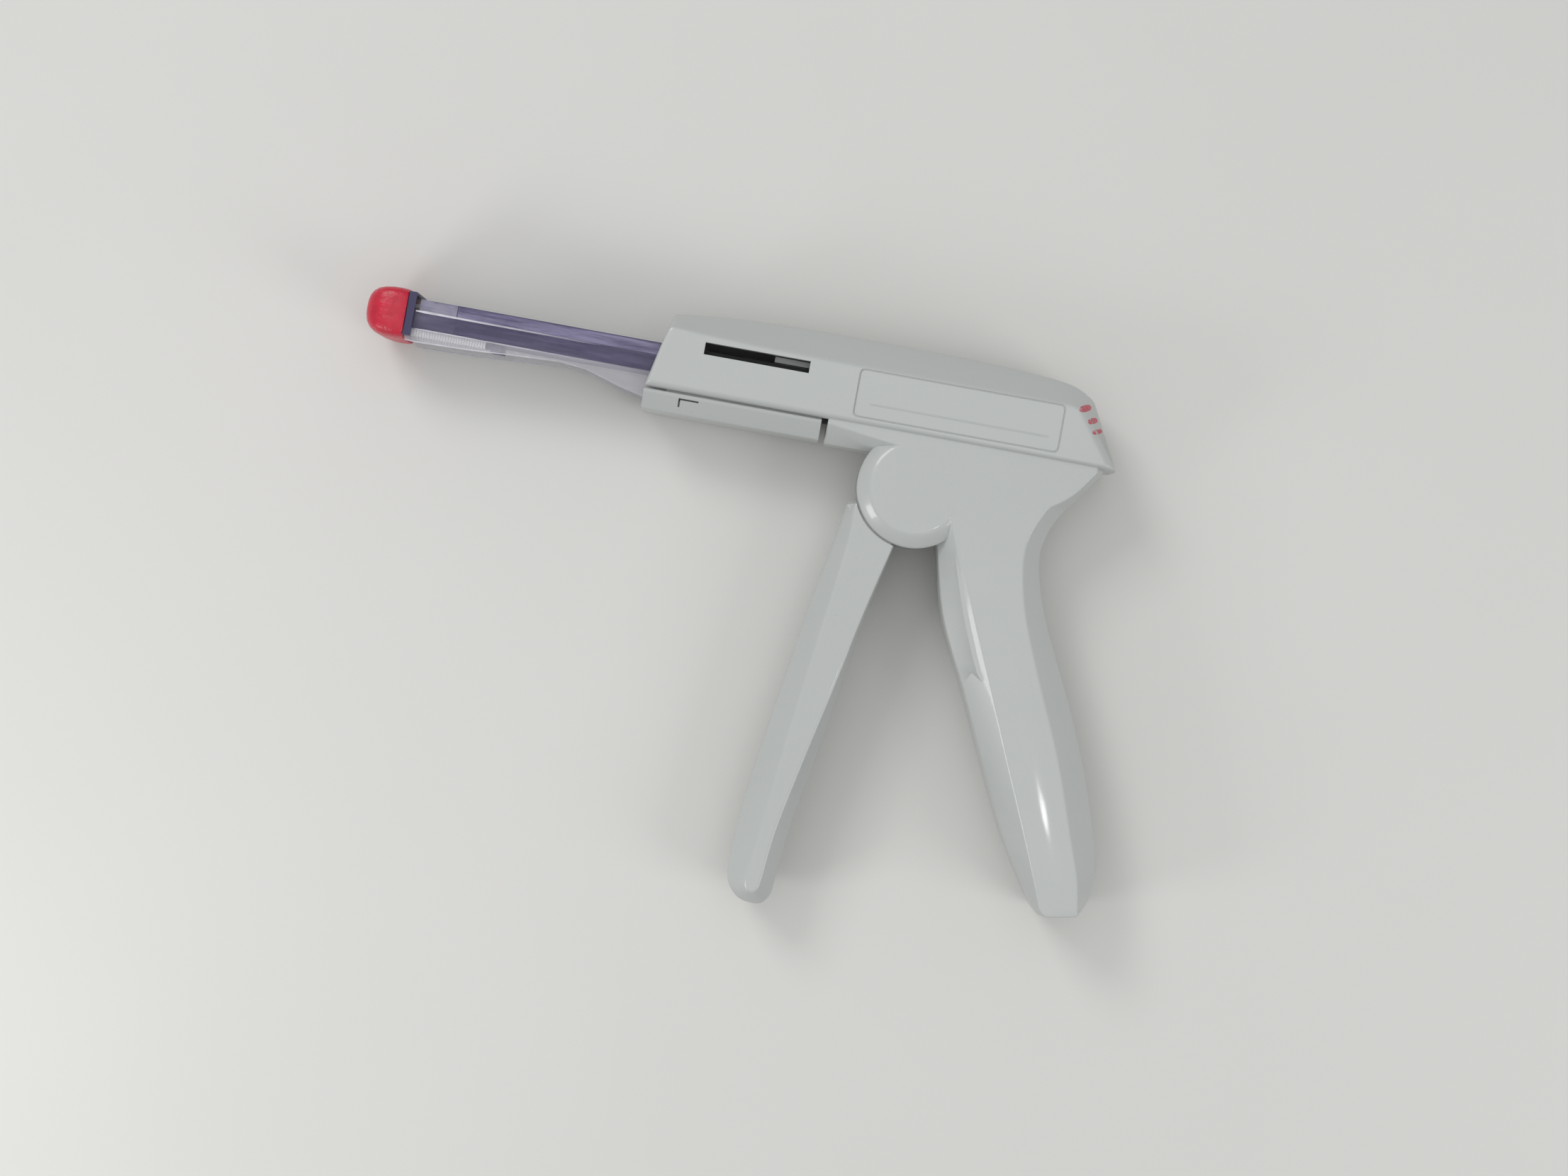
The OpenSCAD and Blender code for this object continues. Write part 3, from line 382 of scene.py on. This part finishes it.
def finish(name, **constants):
    """A new material: itself, its place in millimetres from the pivot, and a way to feed it."""
    material = bpy.data.materials.new(name)
    material.use_nodes = True
    tree = material.node_tree
    shader = tree.nodes["Principled BSDF"]
    for key, value in constants.items():
        shader.inputs[key.replace("_", " ")].default_value = value
    spot = Wire(tree.nodes.new("ShaderNodeTexCoord").outputs["Object"])
    place = spot.node("VectorMath", {"operation": "MULTIPLY_ADD"},
                      {0: spot, 1: (1000, 1000, 1000), 2: tuple(-1000 * pivot)})

    def feed(bump=None, height=0.02, **wires):
        for key, wire in wires.items():
            tree.links.new(wire.socket, shader.inputs[key.replace("_", " ")])
        if bump:
            relief = bump.node("Bump", {}, {"Strength": 1.0, "Distance": height / 1000,
                                            "Height": bump})
            tree.links.new(relief.socket, shader.inputs["Normal"])
    return material, place, feed


def grey_abs(name, tone, roughness=0.34):
    """Pale grey moulded plastic: fine spark-eroded grain, faint flow marks and rubbed patches."""
    material, place, feed = finish(name, Coat_Weight=0.35, Coat_Roughness=0.06)
    flow = place.stretched((0.4, 1, 1)).grain(26, 3)
    pores = place.grain(0.35, 3, 0.6)
    rubbed = place.grain(7, 4, 0.6)
    colour = flow.between([c * 0.95 for c in tone], [c * 1.05 for c in tone])
    colour = pores.ramped(0.62, 0.8).between(colour, [c * 0.82 for c in tone])
    feed(bump=pores * 0.6 + rubbed * 0.5, height=0.012, Base_Color=colour,
         Roughness=rubbed * 0.16 + (roughness - 0.08))
    return material


shell_grey = grey_abs("shell_grey", (0.415, 0.435, 0.425))
left_shell = half_hollow("left_shell", half_form())
right_mesh = left_shell.data.copy()
finished(left_shell, shell_grey, "body", "housing_left")

# The right half: the same moulding seen in a mirror, glued to the left one
# along the parting line round the tool.
for corner in right_mesh.vertices:
    corner.co.z = 2 * pivot.z - corner.co.z
right_mesh.flip_normals()
right_shell = bpy.data.objects.new("right_shell", right_mesh)
bpy.context.scene.collection.objects.link(right_shell)
finished(right_shell, shell_grey, "body", "housing_right")

# The front jaw: a grey tray with leaning sides that closes the body from below
# and snaps in by two slotted tabs near its front end.
jaw_front, jaw_back, jaw_half = -61, -22.5, 10.15
jaw_section = [(-8.45, 6.5), (8.45, 6.5), (jaw_half, 10.25), (jaw_half, 10.95), (8.55, 10.95),
               (6.85, 8.1), (-6.85, 8.1), (-8.55, 10.95), (-jaw_half, 10.95), (-jaw_half, 10.25)]


def swept(name, section, stations, reach=0.4):
    """A bar along the barrel: a section of z and y, kept the same at every station."""
    ring = eased([Vector((z, y)) for z, y in section], reach, gentle=0)
    return skin(name, [[Vector((x, p.y, p.x)) for p in ring[::-1]] for x in stations])


jaw = swept("front_jaw", jaw_section, (jaw_front, jaw_back))
jaw_cuts = [brick("nose_foot_room", (-62, 8.75, -mouth_half), (-56.4, 11.95, mouth_half))]
for flank in (-jaw_half, jaw_half):
    jaw_cuts += [brick("slot", (-53.3, 9.6, flank - 2), (-49, 9.95, flank + 2)),
                 brick("slot", (-53.3, 8.1, flank - 2), (-52.9, 9.6, flank + 2))]
worked(jaw, jaw_cuts)
worked(jaw, [brick("tongue", (-56.2, 10.3, side * 8.7 - 0.4), (-22.6, 11.4, side * 8.7 + 0.4))
             for side in (-1, 1)], "UNION")
# The jaw's grey is a darker copy of the shell's grey: painted shade under the body's lip.
finished(jaw, grey_abs("jaw_shaded_grey", (0.375, 0.393, 0.385)), "body", "underside_cover")

# The printed marks on the rear bevel: three short bars of red ink, a little
# worn and smudged, on each side of the tool.
ink, ink_place, ink_feed = finish("red_ink", Metallic=0.0)
smudge = ink_place.grain(0.9, 3, 0.6)
thin = smudge.ramped(0.35, 0.7)
ink_feed(Base_Color=thin.between((0.55, 0.06, 0.1), (0.62, 0.14, 0.18)), Alpha=0.75 - thin * 0.2,
         Roughness=0.4 + smudge * 0.2)


def inked(name, x, y, long, high, side):
    """One printed bar: a film of ink that follows the shell under it."""
    across, up, film = 9, 5, 0.03
    lean = math.radians(-62)
    points = []
    for j in range(up):
        for i in range(across):
            u, v = (i / (across - 1) - 0.5) * long, (j / (up - 1) - 0.5) * high
            u, v = u * (1 - 0.2 * (2 * v / high) ** 2), v * (1 - 0.25 * (2 * u / long) ** 2)
            px = x - u * math.sin(lean) - v * math.cos(lean)
            py = y + u * math.cos(lean) - v * math.sin(lean)
            hit = left_shell.ray_cast(at(px, py, 20), Vector((0, 0, -1)))
            z = (hit[1].z - pivot.z) * 1000 + film
            points.append((px, py, side * z))
    order = 1 if side > 0 else -1
    starts = [j * across + i for j in range(up - 1) for i in range(across - 1)]
    faces = [[k, k + 1, k + across + 1, k + across][::order] for k in starts]
    finished(piece(name, points, faces), ink, "body")


for side, which in ((1, "left"), (-1, "right")):
    for row, (x, y, long, high) in enumerate(((32.4, 23.3, 3.2, 1.5), (34.5, 21, 2.7, 1.3),
                                              (35.9, 18.9, 2.8, 1.1))):
        inked(f"red_mark_{which}_{row}", x, y, long, high, side)

# The clear nose: a thin polycarbonate channel with a roof, two sides and a
# front wall, pushed into the body's mouth. A low rib runs along each side.
nose_tip, nose_back, nose_half, nose_wall = -117.3, -56.5, 8.5, 0.9
nose_top = 21.7
skirt = [(-117.3, 13.1), (-113.5, 13), (-113.3, 11.85), (-111, 11.7), (-100, 12), (-90, 12.6),
         (-80, 13.1), (-74, 12.5), (-66, 10.1), (-61.2, 9), (-56.5, 8.9)]


def channel(low):
    """The nose's section with its skirt down to low, as pairs of z and y."""
    roof, inner = nose_top - 0.55, nose_half - nose_wall
    turn = 1.3
    outer = [(nose_half, low), (nose_half, nose_top - turn), (nose_half - 0.12, nose_top - 0.62),
             (nose_half - 0.5, nose_top - 0.2), (nose_half - turn, nose_top)]
    inside = [(inner - 0.5, roof), (inner - 0.15, roof - 0.15), (inner, roof - 0.5), (inner, low)]
    return outer + [(-z, y) for z, y in outer[::-1]] + [(-z, y) for z, y in inside[::-1]] + inside


nose_rings = []
for (x, low), (x_on, low_on) in zip(skirt, skirt[1:]):
    steps = max(1, round(abs(x_on - x) / 2))
    nose_rings += [(x + (x_on - x) * k / steps, low + (low_on - low) * k / steps)
                   for k in range(steps)]
nose_rings.append(skirt[-1])
nose = skin("clear_nose", [[Vector((x, y, z)) for z, y in channel(low)] for x, low in nose_rings])
front_half, front_low, front_turn = nose_half - 0.05, 13.1, 1.2
front_ring = [(front_half, front_low), (front_half, nose_top - front_turn),
              (nose_half - front_turn, nose_top - 0.05), (front_turn - nose_half, nose_top - 0.05),
              (-front_half, nose_top - front_turn), (-front_half, front_low)]
nose_front = skin("nose_front", [[Vector((x, y, z)) for z, y in front_ring]
                                 for x in (nose_tip, nose_tip + 0.7)])
worked(nose, [nose_front], "UNION")
clear_ior = 1.58
clear, clear_place, clear_feed = finish("clear_polycarbonate", Base_Color=(0.55, 0.54, 0.59, 1),
                                        IOR=clear_ior, Coat_Weight=0.6, Coat_Roughness=0.05)
haze = clear_place.stretched((0.15, 1, 1)).grain(2.2, 4, 0.6)
below = clear_place.part(1).ramped(14.8, 14.5)
clear_feed(bump=haze, height=0.05, Alpha=0.02 + haze * 0.06 + below * (0.04 + haze * 0.28),
           Roughness=0.08 + haze * 0.14)
finished(nose, clear, "body", "nose_shroud", crease=25)

# Thickened lines of the nose: a rib along each side, where the two mouldings inside meet,
# and a bead along each lower edge, with a step line between. Their pale whitish finish is a painted
# highlight.
highlight_paint, highlight_place, highlight_feed = finish("painted_highlight_line", IOR=clear_ior,
                                              Base_Color=(0.72, 0.72, 0.78, 1))
glint = highlight_place.stretched((0.12, 1, 1)).grain(0.8, 3, 0.6)
highlight_feed(bump=glint, height=0.04, Roughness=0.15 + glint * 0.2,
             # The painted highlight is strongest toward the front of the nose and fades back.
             Alpha=highlight_place.part(0).ramped(-72, -112) * glint.ramped(0.3, 0.6) * 0.75 + 0.06)


def line_of(name, stations, side, high, deep):
    """A slim half-round line on the nose's side, through x, y and a share of its size."""
    turns = [2 * math.pi * i / 12 for i in range(12)]
    made = skin(name, [[Vector((x, y + s * high * math.cos(a),
                                side * nose_half + s * deep * math.sin(a)))
                        for a in turns] for x, y, s in stations])
    finished(made, highlight_paint, "body")


rib_line = [(-112, 18.4, 0.5), (-110, 18.4, 1), (-100, 18.35, 0.8), (-86, 18.3, 0.7),
            (-76, 18.2, 0.5), (-72, 18.2, 0.2)]
bead_line = [(x, low + 0.15, 0.4 if k == 0 else 1) for k, (x, low) in enumerate(skirt[2:-1])]
step_line = [(-111.5, 14.6, 0.3), (-109, 14.6, 1), (-92, 14.55, 1), (-74, 14.5, 0.8),
             (-62, 14.4, 0.5)]
for side, which in ((1, "left"), (-1, "right")):
    line_of(f"nose_rib_{which}", rib_line, side, 0.26, 0.14)
    line_of(f"nose_bead_{which}", bead_line, side, 0.14, 0.1)
    line_of(f"nose_step_{which}", step_line, side, 0.16, 0.1)

# The two violet mouldings inside the nose: the upper guide with its lever ribs
# and the lower magazine, of dyed polycarbonate. Their colour also carries painted light: a pale
# band and lighter patches at the front are painted reflection, the very front end is darker,
# and near black inside the body is painted shade.
violet, violet_place, violet_feed = finish("violet_moulding", Specular_IOR_Level=0.25)
streaks = violet_place.stretched((0.08, 1, 1)).grain(1.3, 4, 0.65)
violet_x = violet_place.part(0)
violet_y = violet_place.part(1)
# A pale band high on the guide and lighter patches toward the front are painted reflection from the
# clear nose's walls.
upper = violet_y.ramped(18.25, 18.6)
patches = violet_place.stretched((0.3, 1, 1)).grain(2.5, 3, 0.6)
violet_tone = streaks.ramped(0.4, 0.66).between((0.012, 0.007, 0.06), (0.06, 0.048, 0.125))
pale = streaks.ramped(0.38, 0.62).between((0.04, 0.03, 0.11), (0.2, 0.183, 0.31))
violet_tone = (upper * violet_y.ramped(21, 20.6)).between(violet_tone, pale)
reflected_haze = violet_x.ramped(-103, -103.4) * patches.ramped(0.3, 0.55) * (upper * 0.8 + 0.1)
violet_tone = reflected_haze.between(violet_tone, (0.27, 0.26, 0.34))
joint = (violet_x > -103.4) * (violet_x < -103.15)
violet_tone = joint.between(violet_tone, (0.02, 0.016, 0.05))
violet_tone = violet_x.ramped(-111.85, -112).between(violet_tone, (0.05, 0.045, 0.1))
# Inside the body the violet turns near black: painted shade.
violet_tone = violet_x.ramped(-58, -54).between(violet_tone, (0.006, 0.006, 0.01))
violet_feed(bump=streaks, height=0.03, Base_Color=violet_tone, Roughness=0.28 + streaks * 0.25)


def dressed(material, *names):
    """Gives a finish to pieces that keep the shape they came with."""
    for name in names:
        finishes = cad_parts[name].data.materials
        finishes.clear()
        finishes.append(material)


dressed(violet, "driver_guide", "magazine")

# The collar round the nose: a thin violet ring that the cap is pushed against.
dressed(violet, "nose_collar")

# The steel pieces: rail, former, lever, latch, strip and the pins. All are
# stamped or turned, with fine lines along the barrel and no plating.
steel, steel_place, steel_feed = finish("stamped_steel", Metallic=1.0)
lines = steel_place.stretched((0.06, 1, 1)).grain(0.5, 4, 0.6)
steel_feed(bump=lines, height=0.012, Roughness=0.22 + lines * 0.28,
           Base_Color=lines.between((0.42, 0.42, 0.44), (0.62, 0.62, 0.63)))
dressed(steel, "anvil_rail", "former", "former_lever", "lever_pin", "cam_pin", "nose_latch",
        "feed_strip", "drive_pin", "pivot_pin", "spring_rod")

# The staples: bright wire, each bent square. They are split into two pieces:
# the staple under the former and the row behind it.
wire, wire_place, wire_feed = finish("staple_wire", Metallic=1.0)
drawn = wire_place.grain(0.4, 3)
wire_feed(bump=drawn, height=0.008, Base_Color=drawn.between((0.6, 0.6, 0.62), (0.78, 0.78, 0.79)),
          Roughness=0.32 + drawn * 0.2)


def copied(name, node, material):
    """A piece of its own with the node's shape, for a node that changes its length."""
    made = bpy.data.objects.new(name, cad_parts[node].data.copy())
    bpy.context.scene.collection.objects.link(made)
    made.data.materials.clear()
    made.data.materials.append(material)
    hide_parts(node)
    return made


behind_first = at(-116.02, 18, 0)
for name, is_first in (("front_staple", True), ("staple_row", False)):
    staples = copied(name, "staple_stack", wire)
    bent = bmesh.new()
    bent.from_mesh(staples.data)
    others = [v for v in bent.verts if (v.co.x < behind_first.x) != is_first]
    bmesh.ops.delete(bent, geom=others, context="VERTS")
    bent.to_mesh(staples.data)
    bent.free()
    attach(staples, "body")
    if is_first:
        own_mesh(staples)
    else:
        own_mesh(staples)

# The feed: a violet shoe behind the staples, a strip, and the grey block whose
# flags show in the two windows, with a post for the long spring.
dressed(violet, "feed_shoe")
dressed(grey_abs("indicator_grey", (0.25, 0.256, 0.26)), "stack_indicator")

# The two springs are wound from stainless wire: the long one lies along the indicator,
# the other one by the slide. Each is a copy of its node's shape.
spring_wire, spring_place, spring_feed = finish("spring_wire", Metallic=1.0)
winding = spring_place.grain(0.3, 3)
spring_feed(bump=winding, height=0.006, Roughness=0.25 + winding * 0.2,
            Base_Color=winding.between((0.35, 0.35, 0.37), (0.55, 0.55, 0.56)))
long_spring = copied("long_spring", "follower_spring", spring_wire)
at(-7.6, 24.4, 0)
at(-25, 24.4, 0)
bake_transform(long_spring)
short_spring = copied("short_spring", "return_spring", spring_wire)
at(-23.3, rod_high, 0)
at(-4.3, rod_high, 0)
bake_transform(short_spring)

# The drive slide: one long violet moulding, forked in front with two slanted
# slots, round in the middle and forked again round the trigger's horn.
slide, slide_place, slide_feed = finish("slide_acetal", Specular_IOR_Level=0.4)
sheen = slide_place.stretched((0.1, 1, 1)).grain(1.5, 3)
slide_feed(bump=sheen, height=0.02, Base_Color=sheen.between((0.06, 0.05, 0.16), (0.1, 0.08, 0.22)),
           Roughness=0.35 + sheen * 0.2)
dressed(slide, "drive_bar")

# The cap over the tip: soft red silicone, a round-cornered hood that is blunt
# in front and slightly puckered, pulled off before use.
cap_front, cap_long = -123.2, 9.2
cap_mid, cap_high, cap_wide = 17.45, 5.45, 9.7
# Each section: place along the cap, width, height, lift and squareness.
cap_stations = [(0, 0.3, 0.24, 0.06, 0.8), (0.01, 0.42, 0.34, 0.06, 0.75),
                (0.035, 0.56, 0.48, 0.05, 0.7), (0.075, 0.69, 0.62, 0.045, 0.62),
                (0.15, 0.82, 0.76, 0.03, 0.52), (0.27, 0.92, 0.88, 0.015, 0.42),
                (0.42, 0.975, 0.955, 0.005, 0.35), (0.62, 1, 1, 0, 0.31),
                (0.8, 1.005, 1.005, 0, 0.3), (0.95, 0.995, 0.99, 0, 0.3), (1, 0.97, 0.96, 0, 0.3)]


def hood_ring(x, wide, high, lift, square, sides=96):
    """One section of the cap: a rounded square of that width and height."""
    ring = []
    for i in range(sides):
        a = 2 * math.pi * i / sides
        c, s = math.cos(a), math.sin(a)
        ring.append(Vector((x, cap_mid + lift + high * math.copysign(abs(c) ** square, c),
                            wide * math.copysign(abs(s) ** square, s))))
    return ring


cap = skin("red_cap", [hood_ring(cap_front + s * cap_long, w * cap_wide, h * cap_high,
                                 u * cap_high, q) for s, w, h, u, q in cap_stations])
room = [(-mouth_half, 12.95), (mouth_half, 12.95), (mouth_half, mouth_top),
        (-mouth_half, mouth_top)]
worked(cap, [swept("tip_room", room, (-117.45, -113), reach=0.9)])
red, red_place, red_feed = finish("red_silicone", Subsurface_Weight=0.15, Subsurface_Scale=0.0015,
                                  Subsurface_Radius=(1.0, 0.2, 0.15), Specular_IOR_Level=0.5)
pucker = red_place.grain(2.4, 3, 0.55)
dusty = red_place.grain(0.4, 3, 0.6)
red_feed(bump=pucker * 0.8 + dusty * 0.15, height=0.35,
         Base_Color=pucker.between((0.34, 0.003, 0.02), (0.6, 0.012, 0.045)),
         Roughness=0.24 + dusty * 0.2)
finished(cap, red, "cap", "tip_cap", crease=60)

# The trigger: a long grey lever with a flat side between sloping flanks, hollow
# and ribbed behind, with a hub inside the boss and a horn that pushes the slide.
trigger_rim = [(-13.9, -4.6), (-14.2, -8), (-15.3, -14.5), (-17.5, -25), (-19, -35), (-20.5, -45),
               (-22, -55), (-23.5, -65), (-24.7, -75), (-25.3, -85), (-25, -90), (-22, -93.5),
               (-17, -94), (-15, -91.5), (-14, -79), (-12.3, -69), (-10.6, -60), (-8.9, -50),
               (-7.5, -40), (-6.1, -30), (-3.9, -20), (-2.3, -13), (-1.9, -9), (-9.5, -3.5)]
trigger_flat = [(-12.6, -5.2), (-12.2, -9), (-12.4, -14.5), (-13.7, -25), (-14.9, -35),
                (-16.2, -45), (-17.5, -55), (-18.5, -65), (-19.5, -75), (-20.6, -85), (-21, -89),
                (-20.4, -91), (-18.6, -91.2), (-17.8, -89.5), (-17, -79), (-15, -69),
                (-13.1, -60), (-10.8, -50), (-8.6, -40), (-6.6, -30), (-4.3, -20),
                (-2.6, -13.2), (-1.9, -9), (-9.5, -3.5)]
trigger_half, rim_half = 8.2, 4.6
trigger_top = shrunk(trigger_flat, 0.8)
lever = moulded("trigger_lever", [
    (trigger_top, -trigger_half), (trigger_flat, -trigger_half), (trigger_rim, -rim_half),
    (trigger_rim, rim_half), (trigger_flat, trigger_half), (trigger_top, trigger_half)],
    corner=2, edge=0.6)
pockets = []
pocket_deep, rib_half = 12.6, 0.8
hollow_line = [(-10.6, -18.8), (-12.7, -32), (-14.7, -45.1), (-16.7, -58.3), (-19, -71.4),
               (-21.3, -84.6)]
for (xa, ya), (xb, yb) in zip(hollow_line, hollow_line[1:]):
    ring = [(xa, ya - rib_half), (xb, yb + rib_half), (xb + pocket_deep, yb + rib_half),
            (xa + pocket_deep, ya - rib_half)]
    pockets.append(slab("pocket", ring, -4.4, 4.4))
worked(lever, [turned("boss_room", [(13.1, -12), (13.1, 12)])] + pockets)
web_reach, hub_half = 15.1, 7.4
web = [(0, 0)] + [(web_reach * math.cos(math.radians(a)), web_reach * math.sin(math.radians(a)))
                  for a in (203, 230, 256)]
lean = math.radians(-15)
horn_ring = [(-3.5, 8.9), (3.5, 8.9), (2.2, 17), (1.5, 18.6), (0, 19.2), (-1.5, 18.6), (-2.2, 17)]
horn_ring = [(x * math.cos(lean) - y * math.sin(lean), x * math.sin(lean) + y * math.cos(lean))
             for x, y in horn_ring]
worked(lever, [turned("hub", [(11.5, -hub_half), (11.5, hub_half)]),
               slab("web", web, -hub_half, hub_half), slab("horn", horn_ring, -2.4, 2.4)],
       "UNION")
worked(lever, [turned("pivot_hole", [(3.05, -12), (3.05, 12)]),
               turned("pin_hole", [(1.22, -12), (1.22, 12)], middle=(4.4, 16.42))])
finished(lever, grey_abs("trigger_grey", (0.405, 0.425, 0.415)), "trigger", "trigger")

# The table under the tool: plain and pale, with soft light all round and from
# above, a lamp on each side, two small ones for the glints, and the camera above.
reach = 1500
table_ring = [(-reach, -reach), (reach, -reach), (reach, reach), (-reach, reach)]
floor = piece("table_top", [(x, y, -body_half) for x, y in table_ring], [[0, 1, 2, 3]])
table, table_place, table_feed = finish("table_paint", Roughness=0.6)
mottle = table_place.grain(60, 3)
table_feed(Base_Color=mottle.between((0.585, 0.582, 0.565), (0.605, 0.602, 0.585)))
floor.data.materials.append(table)

sky = bpy.data.worlds.new("studio_air")
sky.use_nodes = True
sky.node_tree.nodes["Background"].inputs[0].default_value = (1, 1, 1, 1)
sky.node_tree.nodes["Background"].inputs[1].default_value = 0.52
bpy.context.scene.world = sky


def lamp(name, x, y, z, size, watts, aim=(0, 0, 0)):
    """A soft square lamp at a place in millimetres, aimed at a point on the tool."""
    light = bpy.data.lights.new(name, "AREA")
    light.size, light.energy = size, watts
    made = bpy.data.objects.new(name, light)
    made.location = at(x, y, z)
    made.rotation_euler = (at(*aim) - made.location).to_track_quat("-Z", "Y").to_euler()
    bpy.context.scene.collection.objects.link(made)


lamp("upper_left_lamp", -700, 600, 900, 0.45, 4.8)
lamp("overhead_lamp", -60, 100, 1100, 1.1, 2.3)
lamp("right_lamp", 560, -220, 420, 0.3, 1.1)
lamp("low_left_lamp", -330, -240, 200, 0.12, 0.4)
lamp("spot_lamp", 103, -82, 568, 0.014, 0.03, aim=(39.5, -64, 11))

view_lens, view_width, photo_turn = 60, 337.7, 10.3
sensor = 36
lens_away = view_width * view_lens / sensor
eye = bpy.data.objects.new("camera", bpy.data.cameras.new("camera"))
eye.data.lens, eye.data.sensor_width = view_lens, sensor
eye.location = at(-24, -25.85, 4 + lens_away)
eye.rotation_euler = (0, 0, math.radians(photo_turn))
bpy.context.scene.collection.objects.link(eye)
bpy.context.scene.camera = eye
bpy.context.scene.view_settings.view_transform = "Standard"
